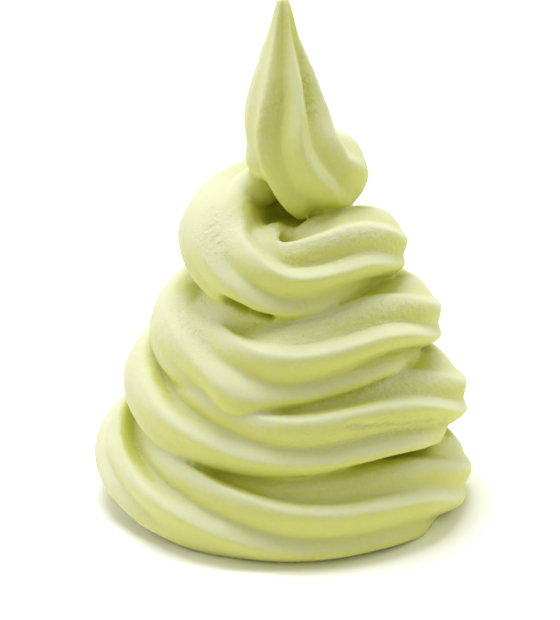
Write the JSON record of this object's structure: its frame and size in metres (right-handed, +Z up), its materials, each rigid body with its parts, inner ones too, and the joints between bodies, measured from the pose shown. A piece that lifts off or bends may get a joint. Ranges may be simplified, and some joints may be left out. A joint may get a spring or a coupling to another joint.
{
  "type": "frozen yogurt swirl",
  "caption": "Tall swirl of pistachio-green frozen yogurt, ridged by a star nozzle, with narrowing coils and a leaning pulled-up peak, on a flat foot.",
  "frame": {"origin": "middle of the foot, on the resting face", "axes": "+Z up through the peak, -Y to the front, +X to the right-hand side seen from the front"},
  "size_m": [0.0842, 0.0834, 0.1145],
  "materials": {
    "frozen_yogurt": "creamy and matte, with icy grain on the torn bands"
  },
  "bodies": {
    "root": {"frozen_yogurt_swirl": "frozen_yogurt"}
  },
  "joints": []
}
